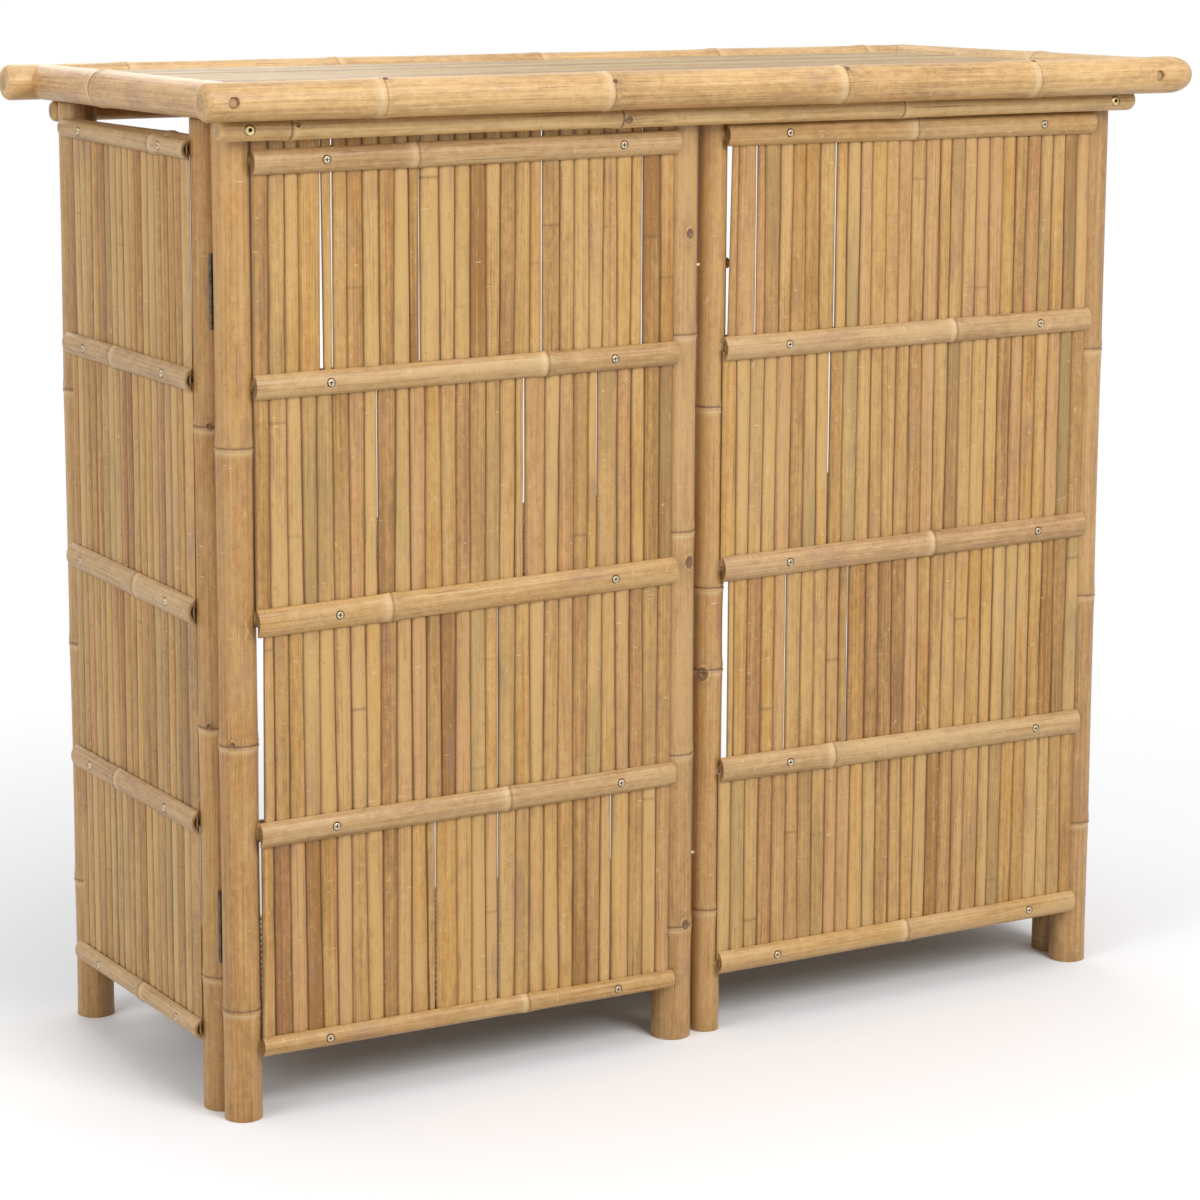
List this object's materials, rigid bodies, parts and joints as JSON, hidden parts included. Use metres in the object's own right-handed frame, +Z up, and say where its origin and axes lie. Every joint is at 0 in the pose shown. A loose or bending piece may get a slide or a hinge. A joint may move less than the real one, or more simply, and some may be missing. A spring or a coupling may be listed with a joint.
{
  "type": "outdoor bar table",
  "caption": "Open-backed outdoor bar of bamboo: slatted screen panels, a framed slatted counter, two shelves and side panels on corner hinges.",
  "frame": {"origin": "on the floor under the middle of the bounding box", "axes": "+X along the counter to the right as seen by a guest, +Y to the open back, +Z up; the front faces -Y"},
  "size_m": [1.31, 0.5446, 1.1247],
  "materials": {
    "thick_bamboo": "clear semi-matt lacquer over bamboo culm",
    "thin_bamboo": "bare and lacquered thin bamboo",
    "split_bamboo": "half-split bamboo, clear lacquer",
    "panel_slats": "split bamboo strips, clear lacquer",
    "shelf_slats": "split bamboo strips, clear lacquer",
    "brass_bolt": "aged brass plating",
    "screw_steel": "zinc plated",
    "hinge_steel": "dull bronzed steel"
  },
  "bodies": {
    "carcass": {"top_front_pole": "thick_bamboo", "top_back_pole": "thick_bamboo", "top_left_pole": "thick_bamboo", "top_right_pole": "thick_bamboo", "frame_dowels": "thin_bamboo", "top_slats": "shelf_slats", "top_battens": "thin_bamboo", "front_apron_pole": "thick_bamboo", "back_apron_pole": "thick_bamboo", "apron_bolts": "brass_bolt", "apron_screws": "screw_steel", "left_front_outer_post": "thick_bamboo", "left_front_inner_post": "thick_bamboo", "left_front_inner_rails": "thin_bamboo", "left_front_outer_rails": "split_bamboo", "left_front_slats": "panel_slats", "left_front_screws": "screw_steel", "right_front_outer_post": "thick_bamboo", "right_front_inner_post": "thick_bamboo", "right_front_inner_rails": "thin_bamboo", "right_front_outer_rails": "split_bamboo", "right_front_slats": "panel_slats", "right_front_screws": "screw_steel", "middle_bolts": "screw_steel", "middle_nuts": "screw_steel", "left_hinge_fixed_leaves": "hinge_steel", "left_hinge_pins": "screw_steel", "left_fixed_leaf_screws": "screw_steel", "right_hinge_fixed_leaves": "hinge_steel", "right_hinge_pins": "screw_steel", "right_fixed_leaf_screws": "screw_steel", "mid_shelf_slats": "shelf_slats", "mid_shelf_back_pole": "thin_bamboo", "mid_shelf_battens": "thin_bamboo", "bottom_shelf_slats": "shelf_slats", "bottom_shelf_back_pole": "thin_bamboo", "bottom_shelf_battens": "thin_bamboo"},
    "left_side": {"left_side_front_post": "thick_bamboo", "left_side_back_post": "thick_bamboo", "left_side_inner_rails": "thin_bamboo", "left_side_outer_rails": "split_bamboo", "left_side_slats": "panel_slats", "left_side_screws": "screw_steel", "left_hinge_moving_leaves": "hinge_steel", "left_moving_leaf_screws": "screw_steel"},
    "right_side": {"right_side_front_post": "thick_bamboo", "right_side_back_post": "thick_bamboo", "right_side_inner_rails": "thin_bamboo", "right_side_outer_rails": "split_bamboo", "right_side_slats": "panel_slats", "right_side_screws": "screw_steel", "right_hinge_moving_leaves": "hinge_steel", "right_moving_leaf_screws": "screw_steel"}
  },
  "joints": [
    {"name": "left_side_swing", "type": "hinge", "parent": "carcass", "child": "left_side", "pos_m": [-0.5883, -0.16364, 0.5555], "axis": [0, 0, 1], "range_deg": [0, 100]},
    {"name": "right_side_swing", "type": "hinge", "parent": "carcass", "child": "right_side", "pos_m": [0.57748, -0.16235, 0.5555], "axis": [0, 0, -1], "range_deg": [0, 100]}
  ]
}
